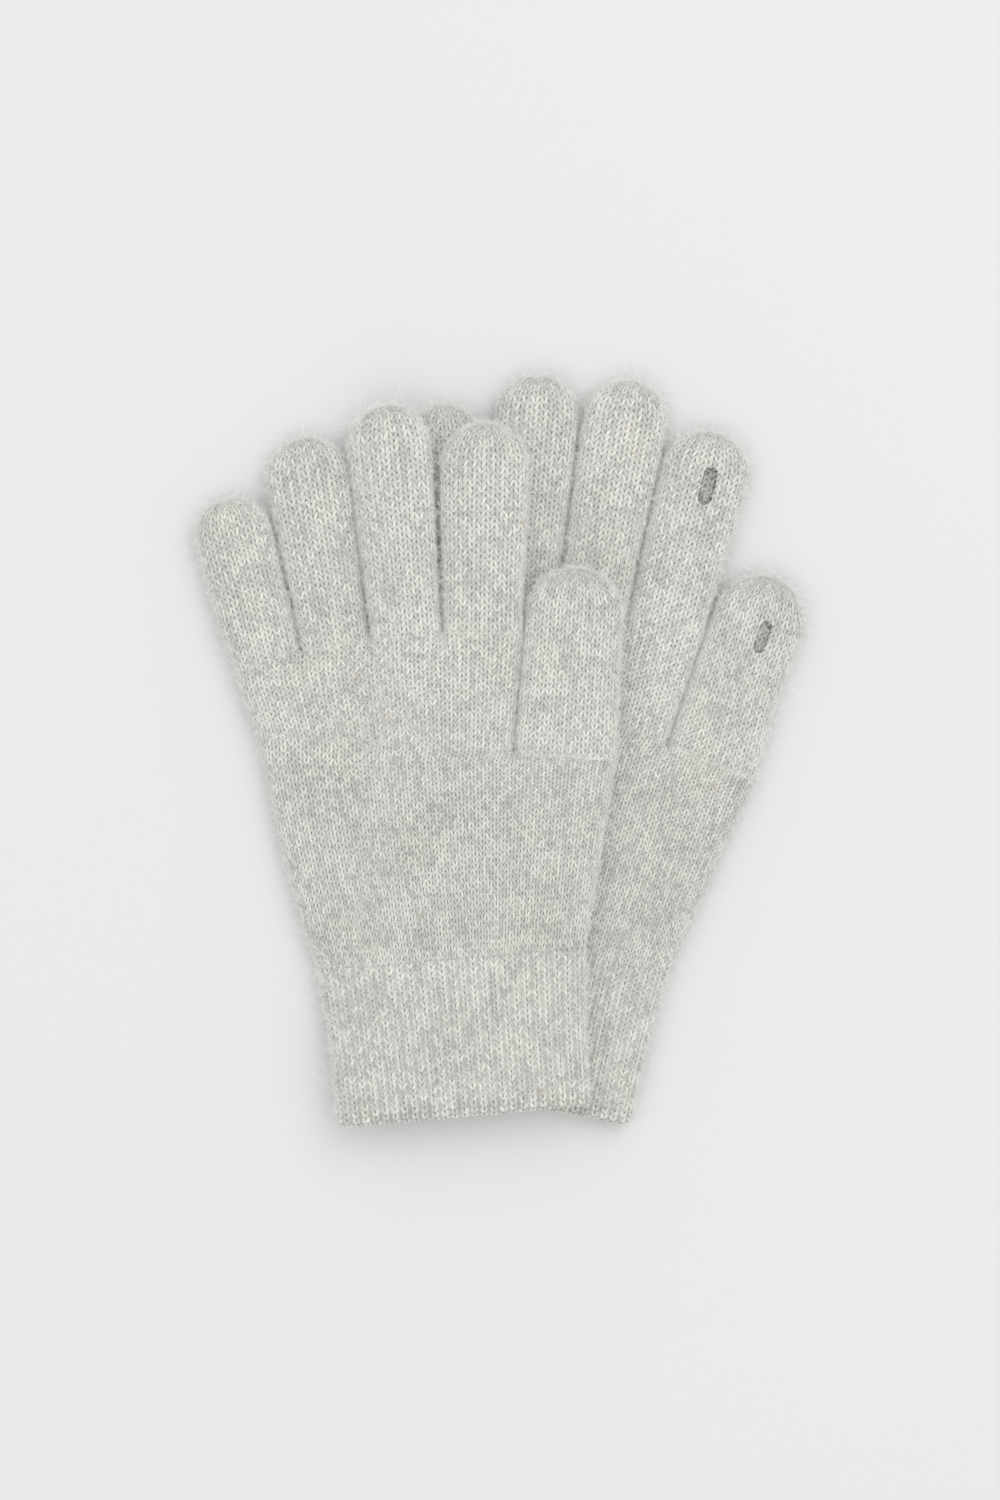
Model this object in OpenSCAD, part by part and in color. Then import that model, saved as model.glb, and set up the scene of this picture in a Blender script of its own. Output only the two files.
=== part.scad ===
// A pair of seamless knitted gloves, lying one on the other with the fingers up.
// The right glove lies on the table with its palm up. The left glove lies on it with its
// back up, and falls to the table beyond the right glove's little-finger edge.
// Each glove is built from its knitted tubes: four finger tubes, the upper palm that joins
// them, the thumb tube, the lower palm that takes in the thumb, the ribbed cuff, its cast-on
// edge, and the elastic threads laid inside the rib.

/* [Fabric] */
// Loft of one glove that lies flat, from back to palm
loft = 8.4; // [7.4:0.1:11]
// Thickness of the knitted wall
wall = 2; // [1.2:0.1:2.4]
// Depth of the groove in the rib that an elastic thread lies in
thread_groove = 0.8; // [0.5:0.1:1]

/* [Hand] */
// Width across the upper palm at the thumb crotch
hand_w = 85; // [74:0.5:100]
// Length from the thumb crotch down to the cuff
palm_len = 68.5; // [55:0.5:85]
// Width at the top of the cuff
wrist_w = 90; // [80:0.5:104]
// Slope of the line that crosses the hand at the thumb crotch, in degrees
thumb_line_tilt = -4; // [-8:0.5:0]

/* [Cuff] */
// Length of the ribbed cuff with its cast-on edge
cuff_len = 52; // [40:0.5:75]
// Width of the cuff at its cast-on edge
cuff_w = 84; // [74:0.5:100]
// Length of the cast-on edge
edge_len = 4.5; // [3:0.5:8]
// How far the cast-on edge stands out from the rib on each side
edge_proud = 0.3; // [0:0.1:0.6]
// How many elastic threads are laid in the rib
thread_count = 5; // [3:1:7]

/* [Digits] */
// Length of the little, ring, middle and index finger and the thumb
digit_len = [56, 69.5, 74.5, 66.5, 62.7]; // [40:0.5:95]
// Width of each finger tube where it leaves the palm, and of the thumb tube
root_w = [24.2, 23, 24, 26.5, 34]; // [18:0.5:40]
// How much wider each digit is below its rounded tip than at its root
tip_flare = [1.2, 4, 3.6, 2.5, -2]; // [-3:0.1:5]
// Height of the five corners of the knuckle line above the thumb crotch
knuckle_rise = [27.5, 33.5, 37, 39.4, 39.1]; // [20:0.5:60]
// Length of the rounded tip, as a share of half its width
tip_round = 0.94; // [0.6:0.02:1.1]

/* [Touch slits] */
// Length of the slit in the index finger and in the thumb
slit_len = [14, 12]; // [8:0.5:18]
// Width of a slit
slit_w = 3.2; // [2:0.1:5]
// Distance from the tip to the middle of the slit, for the index finger and the thumb
slit_from_tip = [18, 20]; // [14:0.5:26]

/* [Clearances] */
// Gap between two tubes that fold on each other
fold_gap = 0.4; // [0.3:0.05:1]
// Gap between two fingers where they leave the palm
side_gap = 0.8; // [0.5:0.1:2]
// Gap between the two gloves where they lie on each other
stack_gap = 0.4; // [0.3:0.05:1]
// Gap between an elastic thread and its groove
thread_gap = 0.05; // [0.02:0.01:0.1]

/* [Hidden] */
LITTLE = 0;
RING = 1;
MIDDLE = 2;
INDEX = 3;
THUMB = 4;

// How each glove lies: [thumb crotch, turn, wrist shift, how far the hand is pulled out,
// cuff tilt, splay of each digit, how far each digit is pulled out, lies on the other,
// how far the index finger's side leans towards the thumb, how far the thumb's root is pressed in]
left_lie = [[3.6, -0.2], 0, -20.5, 0, 5, [13.7, 9.4, 5.2, -0.8, -3.9], [-1.5, 0, 1.5, 2.3, -1], true, 3, 0];
right_lie = [[54.6, 2.1], -18, -20.5, 9, 7, [21.4, 13.6, 8.1, 3.8, -1.6], [1.5, 0.5, -1, -2.4, 2], false, 0.6, 2.5];

rise = loft + stack_gap;
slope_w = 22;          // width of the stretch where the upper glove falls to the table
slope_bow = 0.001;     // how the foot of that stretch curves along the glove
slope_mid = 20;        // where along the glove the curve turns
slope_clear = 2;       // how far the top of that stretch stays off the edge of the glove under it
straighten = 16;       // length over which a digit's sections turn square to its axis
arc_steps = 4;         // sides of each rounded edge
tip_steps = 6;         // rings of a rounded tip
thread_w = 0.9;        // width of an elastic thread along the cuff
slit_side = 2;         // how far a slit lies towards the thumb side of its digit

function turned(a, p) = [p.x * cos(a) - p.y * sin(a), p.x * sin(a) + p.y * cos(a)];
function mix(a, b, s) = a + (b - a) * s;
function ease(s) = let (c = min(1, max(0, s))) c * c * (3 - 2 * c);
function total(v, n) = n <= 0 ? 0 : v[n - 1] + total(v, n - 1);
function on_table(lie, p) = lie[0] + turned(lie[1], p);

// Outline points of a hand, in its own frame with the thumb crotch at the origin
fingers_w = total(root_w, 4);
function knuckle(lie, i) = [lie[8] - fingers_w + total(root_w, i), knuckle_rise[i]];
function thumb_root(lie) = root_w[THUMB] - lie[9];
function across(lie, x) = turned(thumb_line_tilt, [x, 0]);
function wrist(lie) = [lie[2], -palm_len - lie[3]];
function wrist_at(lie, x) = wrist(lie) + turned(lie[4], [x, 0]);
function down_cuff(lie, x, d) = wrist(lie) + turned(lie[4], [x, -d]);
function cuff_w_at(d) = mix(wrist_w, cuff_w, d / cuff_len);

function root_a(lie, i) = i == THUMB ? [0, 0] : knuckle(lie, i);
function root_b(lie, i) = i == THUMB ? across(lie, thumb_root(lie)) : knuckle(lie, i + 1);
function root_mid(lie, i) = (root_a(lie, i) + root_b(lie, i)) / 2;
function root_slope(lie, i) = let (d = root_b(lie, i) - root_a(lie, i)) atan2(d.y, d.x);
function reach(lie, i) = digit_len[i] + lie[6][i];
function digit_w(lie, i) = norm(root_b(lie, i) - root_a(lie, i)) - side_gap;
function tip_w(i) = root_w[i] + tip_flare[i];
function tip_h(i) = tip_round * tip_w(i) / 2;
function width_at(lie, i, s, len) = mix(digit_w(lie, i), tip_w(i), ease(s / (len - tip_h(i))));

// The upper glove's height over the table, from the edge of the glove under it
function far_side(lie) = [
    down_cuff(lie, -cuff_w / 2 - edge_proud, cuff_len),
    wrist_at(lie, -wrist_w / 2),
    across(lie, -hand_w),
    knuckle(lie, 0),
    for (s = [0.25 : 0.25 : 1])
        let (up = s * (reach(lie, LITTLE) - tip_h(LITTLE)))
            root_mid(lie, LITTLE) + turned(lie[5][LITTLE], [-tip_w(LITTLE) / 2, up])
];
edge_x = min([for (p = far_side(right_lie)) let (q = on_table(right_lie, p)) q.x + slope_bow * pow(q.y - slope_mid, 2)]);
function slope_foot(y) = edge_x - slope_clear - slope_bow * pow(y - slope_mid, 2) - slope_w;
function height(lie, p) = lie[7] ? rise * ease((p.x - slope_foot(p.y)) / slope_w) : 0;

// A flattened tube's section, as [across, up from its middle], with n flat steps on each face
function section(w, t, cuts) = let (f = (w - t) / 2, r = t / 2) concat(
    [for (k = [0 : arc_steps]) let (a = -90 + 180 * k / arc_steps) [f + r * cos(a), r * sin(a)]],
    [for (k = [len(cuts) - 1 : -1 : 0]) [max(-f, min(f, (cuts[k] - 0.5) * w)), r]],
    [for (k = [0 : arc_steps]) let (a = 90 + 180 * k / arc_steps) [-f + r * cos(a), r * sin(a)]],
    [for (k = [0 : len(cuts) - 1]) [max(-f, min(f, (cuts[k] - 0.5) * w)), -r]]
);

// The point at share q of a line of points whose shares are given
function along(pts, shares, q) = let (
    n = len(pts) - 1,
    k = min(n - 1, max(0, len([for (s = shares) if (s <= q) s]) - 1))
) mix(pts[k], pts[k + 1], (q - shares[k]) / (shares[k + 1] - shares[k]));

// One ring of points: a section of width w and thickness t across the line pts
function ring(lie, pts, shares, w, t, cuts) = [
    for (s = section(w, t, cuts))
        let (p = on_table(lie, along(pts, shares, s.x / norm(pts[len(pts) - 1] - pts[0]) + 0.5)))
            [p.x, p.y, height(lie, p) + loft / 2 + s.y]
];
function line_ring(lie, a, b, t, inset, cuts) = ring(lie, [a, b], [0, 1], norm(b - a) - 2 * inset, t, cuts);

function flat(lists) = [for (l = lists) each l];
function band(a, b, n, out) = [
    for (k = [0 : n - 1]) let (m = (k + 1) % n)
        each out ? [[a + k, b + m, b + k], [a + k, a + m, b + m]] : [[a + k, b + k, b + m], [a + k, b + m, a + m]]
];

// A tube open at both ends, from its outer and inner rings
module open_tube(outer, inner) {
    n = len(outer[0]);
    m = len(outer);
    polyhedron(
        flat(concat(outer, inner)),
        concat(
            flat([for (j = [0 : m - 2]) band(j * n, (j + 1) * n, n, true)]),
            flat([for (j = [0 : len(inner) - 2]) band((m + j) * n, (m + j + 1) * n, n, false)]),
            band(0, m * n, n, false),
            band((m - 1) * n, (m + len(inner) - 1) * n, n, true)
        ),
        convexity = 6
    );
}

// A tube open at its root and closed at its tip
module closed_tube(outer, inner, outer_tip, inner_tip) {
    n = len(outer[0]);
    m = len(outer);
    q = len(inner);
    last = (m + q) * n;
    polyhedron(
        concat(flat(concat(outer, inner)), [outer_tip, inner_tip]),
        concat(
            flat([for (j = [0 : m - 2]) band(j * n, (j + 1) * n, n, true)]),
            flat([for (j = [0 : q - 2]) band((m + j) * n, (m + j + 1) * n, n, false)]),
            band(0, m * n, n, false),
            [for (k = [0 : n - 1]) [(m - 1) * n + k, (m - 1) * n + (k + 1) % n, last]],
            [for (k = [0 : n - 1]) [(m + q - 1) * n + k, last + 1, (m + q - 1) * n + (k + 1) % n]]
        ),
        convexity = 8
    );
}

hand_cuts = [for (k = [1 : 9]) k / 10];

// The cast-on edge of the cuff
module cuff_edge(lie) {
    function stop(d, inset, t) = line_ring(
        lie, down_cuff(lie, -cuff_w_at(d) / 2 - edge_proud, d), down_cuff(lie, cuff_w_at(d) / 2 + edge_proud, d),
        t, inset, hand_cuts);
    top = cuff_len - edge_len;
    open_tube(
        [for (d = [cuff_len, mix(top, cuff_len, 0.5), top]) stop(d, 0, loft)],
        [for (d = [cuff_len, top]) stop(d, wall + edge_proud, loft - 2 * wall)]);
}

// Where each elastic thread's middle lies, down from the top of the cuff
function thread_at(k) = mix(0, cuff_len - edge_len, (k + 0.5) / thread_count);
function cuff_ring(lie, d, inset, t) =
    line_ring(lie, down_cuff(lie, -cuff_w_at(d) / 2, d), down_cuff(lie, cuff_w_at(d) / 2, d), t, inset, hand_cuts);

// The ribbed cuff, grooved inside for its elastic threads
module cuff_rib(lie) {
    top = cuff_len - edge_len;
    deep = wall - thread_groove;
    open_tube(
        [for (k = [0 : 6]) cuff_ring(lie, top * (1 - k / 6), 0, loft)],
        concat(
            [cuff_ring(lie, top, wall, loft - 2 * wall)],
            [for (k = [thread_count - 1 : -1 : 0]) let (d = thread_at(k), h = thread_w / 2 + thread_gap)
                each [
                    cuff_ring(lie, d + h, wall, loft - 2 * wall),
                    cuff_ring(lie, d + h, deep, loft - 2 * deep),
                    cuff_ring(lie, d - h, deep, loft - 2 * deep),
                    cuff_ring(lie, d - h, wall, loft - 2 * wall)
                ]],
            [cuff_ring(lie, 0, wall, loft - 2 * wall)]
        ));
}

// The elastic threads, one hoop in each groove
module cuff_elastic(lie) {
    out = wall - thread_groove + thread_gap;
    in = wall - thread_gap;
    for (k = [0 : thread_count - 1]) {
        a = thread_at(k) + thread_w / 2;
        b = thread_at(k) - thread_w / 2;
        open_tube(
            [for (d = [a, b]) cuff_ring(lie, d, out, loft - 2 * out)],
            [for (d = [a, b]) cuff_ring(lie, d, in, loft - 2 * in)]);
    }
}

// The lower palm, from the cuff up to the thumb crotch, with the thumb's side taken in
module lower_palm(lie) {
    a0 = wrist_at(lie, -wrist_w / 2);
    b0 = wrist_at(lie, wrist_w / 2);
    a1 = across(lie, -hand_w);
    b1 = across(lie, thumb_root(lie));
    function stop(s, inset, t) = line_ring(lie, mix(a0, a1, s), mix(b0, b1, 1 - pow(1 - s, 1.4)), t, inset, hand_cuts);
    open_tube(
        [for (k = [0 : 6]) stop(k / 6, 0, loft)],
        [for (k = [0 : 6]) stop(k / 6, wall, loft - 2 * wall)]);
}

// The upper palm, from the thumb crotch up to the knuckle line
module upper_palm(lie) {
    shares = [for (i = [0 : 4]) total(root_w, i) / fingers_w];
    cuts = [for (i = [0 : 3]) each concat(i == 0 ? [] : [shares[i]], [for (k = [1 : 2]) mix(shares[i], shares[i + 1], k / 3)])];
    top = [for (i = [0 : 4]) knuckle(lie, i)];
    base = [for (q = shares) mix(across(lie, -hand_w), across(lie, 0), q)];
    function stop(s, inset, t) = let (
        pts = [for (i = [0 : 4]) mix(base[i], top[i], s)]
    ) ring(lie, pts, shares, norm(pts[4] - pts[0]) - 2 * inset, t, cuts);
    open_tube(
        [for (k = [0 : 4]) stop(k / 4, 0, loft)],
        [for (k = [0 : 4]) stop(k / 4, wall, loft - 2 * wall)]);
}

// One digit's section at s along its axis, scaled by round towards the tip
function digit_ring(lie, i, s, w, t) = let (
    c = root_mid(lie, i) + turned(lie[5][i], [0, s]),
    a = mix(root_slope(lie, i), lie[5][i], ease(s / straighten)),
    d = turned(a, [w / 2, 0])
) line_ring(lie, c - d, c + d, t, 0, [0.25, 0.5, 0.75]);
function digit_tip(lie, i, s) = let (p = on_table(lie, root_mid(lie, i) + turned(lie[5][i], [0, s])))
    [p.x, p.y, height(lie, p) + loft / 2];

// A finger or thumb tube
module digit(lie, i) {
    long = reach(lie, i);
    straight = long - tip_h(i);
    body = [for (k = [0 : 7]) mix(fold_gap, straight, k / 7)];
    bow = [for (k = [1 : tip_steps]) 88 * k / tip_steps];
    in_h = tip_h(i) - wall;
    closed_tube(
        concat(
            [for (s = body) digit_ring(lie, i, s, width_at(lie, i, s, long), loft)],
            [for (a = bow) digit_ring(lie, i, straight + tip_h(i) * sin(a), tip_w(i) * cos(a), loft * cos(a))]),
        concat(
            [for (s = body) digit_ring(lie, i, s, width_at(lie, i, s, long) - 2 * wall, loft - 2 * wall)],
            [for (a = bow) digit_ring(
                lie, i, straight + in_h * sin(a), (tip_w(i) - 2 * wall) * cos(a), (loft - 2 * wall) * cos(a))]),
        digit_tip(lie, i, long),
        digit_tip(lie, i, straight + in_h));
}

// The slit through the palm side of a digit's wall
module slit(lie, i) {
    k = i - INDEX;
    mid = root_mid(lie, i) + turned(lie[5][i], [slit_side, reach(lie, i) - slit_from_tip[k]]);
    p = on_table(lie, mid);
    low = lie[7] ? height(lie, p) - wall : loft - 1.5 * wall;
    half = (slit_len[k] - slit_w) / 2;
    translate([p.x, p.y, low]) rotate(lie[1] + lie[5][i]) {
        for (y = [-half, half]) translate([0, y, 0]) cylinder(d = slit_w, h = 2.5 * wall, $fn = 32);
        translate([-slit_w / 2, -half, 0]) cube([slit_w, 2 * half, 2.5 * wall]);
    }
}

module touch_digit(lie, i) {
    difference() {
        digit(lie, i);
        slit(lie, i);
    }
}

PIECES = [
    "cuff_edge", "cuff_rib", "cuff_elastic", "lower_palm", "upper_palm",
    "little_finger", "ring_finger", "middle_finger", "index_finger", "thumb"
];

module piece(lie, name) {
    if (name == "cuff_edge") color("gainsboro") cuff_edge(lie);
    if (name == "cuff_rib") color("lightgray") cuff_rib(lie);
    if (name == "cuff_elastic") color("whitesmoke") cuff_elastic(lie);
    if (name == "lower_palm") color("lightgray") lower_palm(lie);
    if (name == "upper_palm") color("lightgray") upper_palm(lie);
    if (name == "little_finger") color("gainsboro") digit(lie, LITTLE);
    if (name == "ring_finger") color("gainsboro") digit(lie, RING);
    if (name == "middle_finger") color("gainsboro") digit(lie, MIDDLE);
    if (name == "index_finger") color("gainsboro") touch_digit(lie, INDEX);
    if (name == "thumb") color("gainsboro") touch_digit(lie, THUMB);
}

for (p = PIECES) {
    piece(left_lie, p);
    piece(right_lie, p);
}
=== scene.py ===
import bpy
import math
import numpy as np
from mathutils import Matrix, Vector


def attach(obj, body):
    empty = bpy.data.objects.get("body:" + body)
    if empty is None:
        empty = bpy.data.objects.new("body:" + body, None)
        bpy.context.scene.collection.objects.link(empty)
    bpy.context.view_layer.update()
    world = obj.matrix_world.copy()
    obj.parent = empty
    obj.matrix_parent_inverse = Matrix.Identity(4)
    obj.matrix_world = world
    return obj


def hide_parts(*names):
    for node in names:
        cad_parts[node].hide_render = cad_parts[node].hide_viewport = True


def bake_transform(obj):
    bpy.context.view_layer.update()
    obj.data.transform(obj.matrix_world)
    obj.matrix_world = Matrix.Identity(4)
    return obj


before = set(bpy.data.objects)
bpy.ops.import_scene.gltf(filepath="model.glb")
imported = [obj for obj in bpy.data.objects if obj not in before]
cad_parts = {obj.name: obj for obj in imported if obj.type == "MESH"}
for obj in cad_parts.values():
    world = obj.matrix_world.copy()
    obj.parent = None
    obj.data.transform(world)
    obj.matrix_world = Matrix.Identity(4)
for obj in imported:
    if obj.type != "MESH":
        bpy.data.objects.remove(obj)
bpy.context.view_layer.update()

mm = 0.001  # sizes below are in millimetres unless a note says otherwise

knit = {
    "loft": 8.4,            # thickness of one empty glove
    "wall": 1.9,            # thickness of the fabric
    "edgeTurns": (25.2, 26.4),  # fabric round a tube's two edges, at its root and near its tip
    "wales": 96,            # wales round the lower palm
    "course": 1.85,         # height of one course in the palm
    "digitCourse": 2.05,    # the same in the fingers and thumbs
    "digitWale": 2.72,      # width of one wale at a finger's root
    "step": 0.37,           # spacing of the surface points
    "relief": 0.7,          # how far a stitch leg stands out
    "uneven": 0.22,         # unevenness of the lying fabric
    "waves": (13, 6),       # size of its broad and its fine waves
    "settle": 0.15,         # how far the upper face sinks under its own weight
}

# surface points: how many go round a tube and up it, and every which one the lining keeps
grid = {
    "lowerColumns": 576, "palmRows": 165, "lowerEvery": 6,
    "upperColumns": 530, "upperRows": 100, "tuckedRows": 3, "upperEvery": 5,
    "digitStep": 0.36, "digitEvery": 4,
}

# cross-sections: how square a tube's edges are, 0 is square, and the power of their curve
edgeSoft = {"hand": 0.62, "root": 0.34, "digit": 0.55}
edgeCurve = 2.2

rib = {
    "ribs": 54,             # raised wales round the cuff
    "course": 1.9,
    "relief": 0.6,
    "groove": 0.3,          # depth between two raised wales
    "raisedHalf": 0.47, "raisedEdge": 0.16,  # half width of a raised wale and of its flank, in wales
    "legSpread": 0.78,      # a raised wale's legs are drawn together this much
    "purl": 0.3,            # height of the purl bumps in a groove
    "edgeRoll": 0.35,       # how far the cast-on edge stands out
    "fade": 5.0,            # length over which the ribs die out into the palm
}

hand = {
    "handW": 85.0,
    "palmLen": 68.5,
    "upperLen": 37.0,       # from the thumb crotch to the knuckles
    "wristW": 90.0,
    "lineTilt": -4.0,       # degrees
    "cuffLen": 52.0,
    "cuffW": 84.0,
    "edgeLen": 4.5,
    "cuffHollow": 1.2,      # how far the cuff draws in at its middle
    "cuffCorner": (5.0, 3.0),  # length and depth of its rounded corners
    "digitLen": (56.0, 69.5, 74.5, 66.5, 62.7),
    "rootW": (24.2, 23.0, 24.0, 26.5, 34.0),
    "flare": (1.2, 4.0, 3.6, 2.5, -2.0),
    "rise": (27.5, 33.5, 37.0, 39.4, 39.1),
    "tipRound": 0.94,
    "stackGap": 0.4,
    "sideGap": 0.5,         # fuzz fills the rest of the gap
    "straighten": 16.0,     # length over which a digit turns into its own direction
    "bendLen": 14.0,        # length over which a folded digit bends
    "palmBulge": 1.5,       # how far the little-finger side of the palm swells
    "rootTuck": 2.2,        # how far the little finger's outer root is drawn in
}

touchSlit = {
    "length": (14.0, 12.0),  # index finger, thumb
    "width": (5.0, 4.2),
    "fromTip": (18.0, 20.0),
    "side": 2.0,
    "lip": 0.45,            # height of the rolled edge
    "pointed": 0.6,         # how much narrower its ends are
    "backRise": 2.7,        # how far the limp far side comes up under the slit
}

leftLay = {
    "side": "left", "crotch": (3.6, -0.2), "turn": 0.0,
    "wristShift": -20.5, "pullOut": 0.0, "cuffTilt": 5.0,
    "splay": (13.7, 9.4, 5.2, -0.8, -3.9), "reach": (-1.5, 0.0, 1.5, 2.3, -1.0),
    "lean": 3.0, "thumbIn": 0.0, "thumbSlim": 0.0, "sideCurve": 1.4,
    "onTop": True, "palmUp": False, "seed": 11,
}
rightLay = {
    "side": "right", "crotch": (54.6, 2.1), "turn": -18.0,
    "wristShift": -20.5, "pullOut": 9.0, "cuffTilt": 7.0,
    "splay": (21.4, 13.6, 8.1, 3.8, -1.6), "reach": (1.5, 0.5, -1.0, -2.4, 2.0),
    "lean": 0.6, "thumbIn": 2.5, "thumbSlim": 1.8, "sideCurve": 1.15,
    "onTop": False, "palmUp": True, "seed": 29,
}

# where the upper glove falls to the table: how wide that stretch is, its foot and how the foot curves
slope = {"width": 22.0, "foot": -51.86, "bow": 0.001, "mid": 20.0}

digitNames = ("little_finger", "ring_finger", "middle_finger", "index_finger", "thumb")
thumb = 4


# Where things lie

def turned(angle, p):
    a = np.radians(angle)
    c, s = np.cos(a), np.sin(a)
    p = np.asarray(p, float)
    return np.stack([p[..., 0] * c - p[..., 1] * s, p[..., 0] * s + p[..., 1] * c], -1)


def ease(t):
    t = np.clip(t, 0, 1)
    return t * t * (3 - 2 * t)


def mix(a, b, t):
    return a + (b - a) * t


def knuckle(lay, i):
    return np.array([lay["lean"] - sum(hand["rootW"][:4]) + sum(hand["rootW"][:i]), hand["rise"][i]])


def acrossLine(x):
    x = np.asarray(x, float)
    return turned(hand["lineTilt"], np.stack([x, 0 * x], -1))


def rootEnds(lay, i):
    if i == thumb:
        return np.zeros(2), acrossLine(hand["rootW"][thumb] - lay["thumbIn"])
    return knuckle(lay, i), knuckle(lay, i + 1)


def downCuff(lay, x, d):
    wrist = np.array([lay["wristShift"], -hand["palmLen"] - lay["pullOut"]])
    return wrist + turned(lay["cuffTilt"], np.array([x, -d], float))


def digitReach(lay, i):
    return hand["digitLen"][i] + lay["reach"][i]


def fabricHeight(lay, xy):
    if not lay["onTop"]:
        return np.zeros(xy.shape[:-1])
    foot = slope["foot"] - slope["bow"] * (xy[..., 1] - slope["mid"]) ** 2
    return (knit["loft"] + hand["stackGap"]) * ease((xy[..., 0] - foot) / slope["width"])


# Noise that is the same on every run

def hashed(*keys):
    h = 0.0
    for n, k in enumerate(keys):
        h = h + np.asarray(k, float) * (12.9898, 78.233, 37.719, 4.581)[n]
    return np.modf(np.abs(np.sin(h) * 43758.5453))[0]


def softNoise(x, y, seed):
    xi, yi = np.floor(x), np.floor(y)
    fx, fy = ease(x - xi), ease(y - yi)
    c = [hashed(xi + a, yi + b, seed) for a, b in ((0, 0), (1, 0), (0, 1), (1, 1))]
    return mix(mix(c[0], c[1], fx), mix(c[2], c[3], fx), fy) * 2 - 1


# Stitches: a counts wales and c counts courses along the fabric. Each V opens towards the fingertips

leg = {
    "lean": 1.4,            # how much lower a leg starts at the middle of its wale
    "centre": 0.25, "splay": 0.11, "halfWidth": 0.27,  # across the wale
    "waleShift": 0.12, "waleTurn": 7.13,  # each wale sits a little higher or lower than the next
}


def legHeight(x, c, wale, seed):
    u = np.abs(x)
    row = c - leg["lean"] * u + leg["waleShift"] * np.sin(wale * leg["waleTurn"])
    rowNo = np.floor(row)
    y = row - rowNo
    wild = hashed(wale, rowNo, np.sign(x) + seed)
    centre = leg["centre"] + leg["splay"] * (y - 0.5)
    bump = np.clip(1 - ((u - centre) / leg["halfWidth"]) ** 2, 0, 1) ** 0.5
    return bump * (0.4 + 0.6 * np.sin(np.pi * y) ** 0.7) * (0.78 + 0.42 * wild)


def plainHeight(a, c, seed):
    wale = np.floor(a)
    return legHeight(a - wale - 0.5, c, wale, seed)


def ribHeight(a, c, seed):
    wale = np.floor(a)
    x = a - wale - 0.5
    raised = ease((rib["raisedHalf"] - np.abs(x)) / rib["raisedEdge"])
    legs = legHeight(x / rib["legSpread"], c, wale, seed)
    purl = rib["purl"] * np.abs(np.sin(np.pi * (c + 0.5)))
    return raised, mix(purl, legs, raised)


# Sections: a closed line from the left edge over the top to the right edge and back underneath

ringTurns = np.linspace(0, 2 * np.pi, 1601)


def sideLift(u, e):
    return (1 - np.clip((u - (1 - e)) / e, 0, 1) ** edgeCurve) ** (1 / edgeCurve)


def sectionLine(halfW, t, topShape=None, soft=edgeSoft["hand"]):
    cosT, sinT = np.cos(ringTurns), np.sin(ringTurns)
    x = -halfW * np.sign(cosT) * np.abs(cosT) ** 0.83
    u = np.abs(x) / halfW
    e = min(1.0, soft * t / halfW)
    lift = sideLift(u, e) if topShape is None else topShape(x / halfW)
    top = sinT >= 0
    z = np.where(top, lift * (1 - 0.08 * u ** 2.5), -lift) * t / 2
    return x, z


def ringAt(halfW, t, count, topShape=None, soft=edgeSoft["hand"]):
    x, z = sectionLine(halfW, t, topShape, soft)
    d = np.concatenate([[0], np.cumsum(np.hypot(np.diff(x), np.diff(z)))])
    at = np.linspace(0, d[-1], count + 1)
    return np.interp(at, d, x), np.interp(at, d, z), at


def gridNormals(points):
    closed = points[:, :-1]
    du = np.roll(closed, -1, 1) - np.roll(closed, 1, 1)
    dv = np.gradient(closed, axis=0)
    n = np.cross(du, dv)
    n /= np.maximum(np.linalg.norm(n, axis=-1, keepdims=True), 1e-9)
    return np.concatenate([n, n[:, :1]], 1)


def lifted(lay, flat, z, t):
    # from the glove's own flat frame to where it lies: z is measured from the middle of its thickness
    xy = np.asarray(lay["crotch"]) + turned(lay["turn"], flat)
    up = fabricHeight(lay, xy)
    big, small = knit["waves"]
    broad = softNoise(xy[..., 0] / big, xy[..., 1] / big, lay["seed"])
    fine = softNoise(xy[..., 0] / small, xy[..., 1] / small, lay["seed"] + 3)
    wave = knit["uneven"] * (broad + 0.5 * fine)
    onTopSide = np.clip(z / np.maximum(t / 2, 0.1), 0, 1)
    height = knit["loft"] / 2 + z + up + wave * onTopSide - knit["settle"] * onTopSide
    return np.concatenate([xy, height[..., None]], -1)


# Palm and cuff: one grid from the cast-on edge to the thumb crotch, then one from there to the knuckles

def lobes(edges, depth):
    # the top's shape across a row of tubes that lie side by side, edges from -1 to 1
    def shape(u):
        out = np.zeros_like(u)
        for a, b, halfMm in edges:
            mid, half = (a + b) / 2, (b - a) / 2
            bulge = sideLift(np.abs(u - mid) / half, min(1, edgeSoft["root"] * knit["loft"] / halfMm))
            out = np.maximum(out, np.where(np.abs(u - mid) <= half, bulge, 0))
        e = min(1.0, edgeSoft["hand"] * knit["loft"] / depth["halfW"])
        plain = sideLift(np.abs(u), e)
        return mix(plain, np.maximum(out, 0.5), depth["share"])
    return shape


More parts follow.
